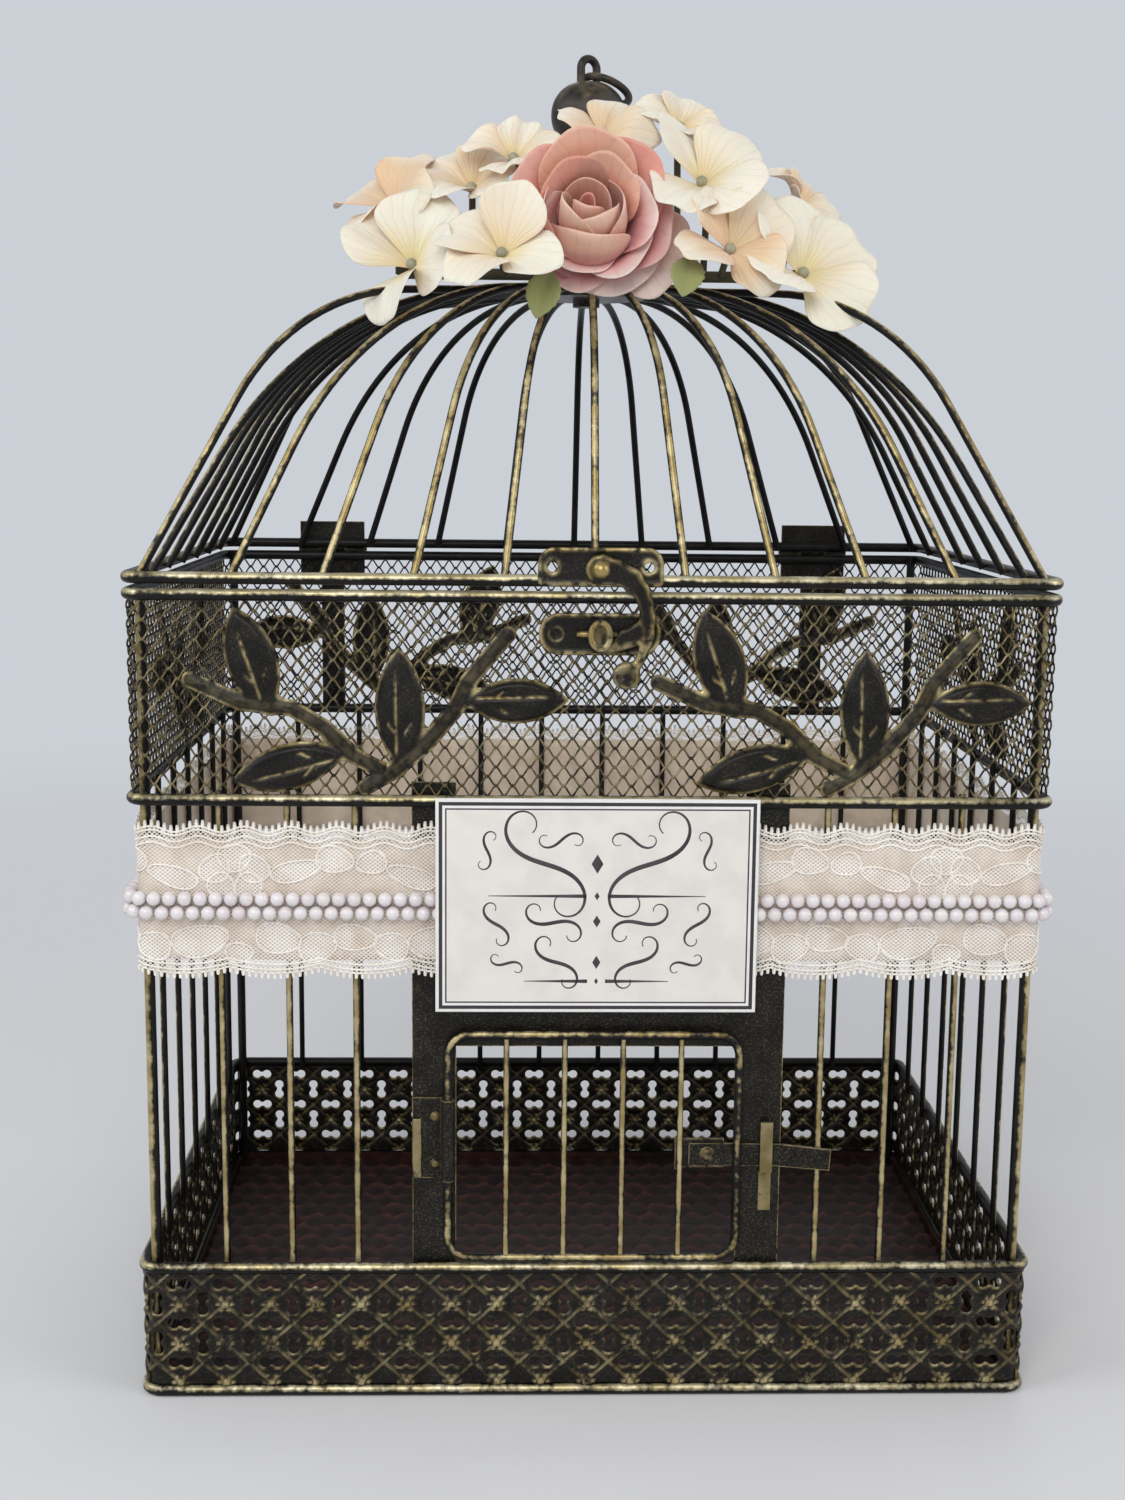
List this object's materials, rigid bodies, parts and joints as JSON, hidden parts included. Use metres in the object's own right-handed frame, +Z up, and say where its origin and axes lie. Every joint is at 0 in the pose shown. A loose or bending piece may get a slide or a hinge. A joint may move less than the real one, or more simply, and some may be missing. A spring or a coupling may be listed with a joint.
{
  "type": "wedding card box",
  "caption": "Rectangular wire birdcage card box: hinged dome lid with hook clasp, latched front door, leaf-sprig mesh band, lace and bead trim, sign card and silk flowers.",
  "frame": {"origin": "middle of the floor pan's underside, on the plane that the box rests on", "axes": "+X to the right of the front, +Y to the back, +Z up towards the finial"},
  "size_m": [0.3144, 0.2328, 0.4686],
  "materials": {
    "bronzed_wire": "black-bronze paint rubbed back to antique gold",
    "bronzed_sheet": "black-bronze paint with gold-rubbed raised edges",
    "bronzed_mesh": "dark bronze paint over woven wire",
    "bronzed_cast": "dark bronze paint, gold-rubbed",
    "floor_sheet": "dark brown paint over an embossed scale pattern",
    "ribbon": "cream ribbon",
    "lace": "ivory lace",
    "pearl_beads": "pearl lustre",
    "card_stock": "smooth white card stock",
    "foam_pad": "white foam",
    "rose_petals": "dusty coral silk",
    "hydrangea_petals": "ivory silk with peach shading",
    "leaf_silk": "green silk",
    "stem_wrap": "green wrapped wire"
  },
  "bodies": {
    "cage": {"base_bottom_ring": "bronzed_wire", "base_top_ring": "bronzed_wire", "mid_ring": "bronzed_wire", "body_top_ring": "bronzed_wire", "corner_posts": "bronzed_wire", "front_bars": "bronzed_wire", "back_bars": "bronzed_wire", "side_bars_left": "bronzed_wire", "side_bars_right": "bronzed_wire", "floor_pan": "floor_sheet", "base_lattice_front": "bronzed_sheet", "base_lattice_right": "bronzed_sheet", "base_lattice_back": "bronzed_sheet", "base_lattice_left": "bronzed_sheet", "mesh_panel_front": "bronzed_mesh", "mesh_panel_right": "bronzed_mesh", "mesh_panel_back": "bronzed_mesh", "mesh_panel_left": "bronzed_mesh", "leaf_sprigs_front": "bronzed_sheet", "leaf_sprigs_back": "bronzed_sheet", "leaf_sprig_left": "bronzed_sheet", "leaf_sprig_right": "bronzed_sheet", "door_surround": "bronzed_sheet", "door_hinge_strap": "bronzed_sheet", "door_hinge_rivets": "bronzed_sheet", "door_keeper": "bronzed_sheet", "catch_plate": "bronzed_sheet", "catch_stud": "bronzed_sheet", "hinge_body_leaves": "bronzed_sheet", "hinge_pins": "bronzed_sheet", "ribbon_band": "ribbon", "lace_band": "lace", "bead_rows": "pearl_beads", "sign_card": "card_stock", "card_pads": "foam_pad"},
    "lid": {"lid_ring": "bronzed_wire", "dome_wires_front": "bronzed_wire", "dome_wires_right": "bronzed_wire", "dome_wires_back": "bronzed_wire", "dome_wires_left": "bronzed_wire", "dome_wires_corner": "bronzed_wire", "dome_cap": "bronzed_sheet", "finial_knob": "bronzed_cast", "finial_bolt": "bronzed_cast", "finial_eye": "bronzed_cast", "hasp_plate": "bronzed_sheet", "hasp_rivet": "bronzed_sheet", "hinge_lid_leaves": "bronzed_sheet", "rose_bloom": "rose_petals", "hydrangea_left": "hydrangea_petals", "hydrangea_right": "hydrangea_petals", "green_leaves": "leaf_silk", "flower_stems": "stem_wrap"},
    "hook": {"clasp_hook": "bronzed_sheet"},
    "door": {"door_frame": "bronzed_wire", "door_wires": "bronzed_wire", "door_latch_lug": "bronzed_sheet", "door_latch_rivet": "bronzed_sheet"},
    "door_latch": {"door_latch_lever": "bronzed_sheet"},
    "carry_handle": {"carry_ring": "bronzed_wire"}
  },
  "joints": [
    {"name": "lid_hinge", "type": "hinge", "parent": "cage", "child": "lid", "pos_m": [0, 0.1136, 0.281], "axis": [-1, 0, 0], "range_deg": [0, 105]},
    {"name": "hook_pivot", "type": "hinge", "parent": "lid", "child": "hook", "pos_m": [0.0015, -0.1137, 0.2876], "axis": [0, -1, 0], "range_deg": [0, 110]},
    {"name": "carry_ring_swing", "type": "hinge", "parent": "lid", "child": "carry_handle", "pos_m": [0, 0, 0.4609], "axis": [0.5736, -0.8192, 0], "range_deg": [0, 232]},
    {"name": "door_hinge", "type": "hinge", "parent": "cage", "child": "door", "pos_m": [-0.048, -0.1106, 0.0933], "axis": [0, 0, -1], "range_deg": [0, 110]},
    {"name": "door_latch_pivot", "type": "hinge", "parent": "door", "child": "door_latch", "pos_m": [0.0407, -0.1084, 0.0876], "axis": [0, -1, 0], "range_deg": [0, 65]}
  ]
}
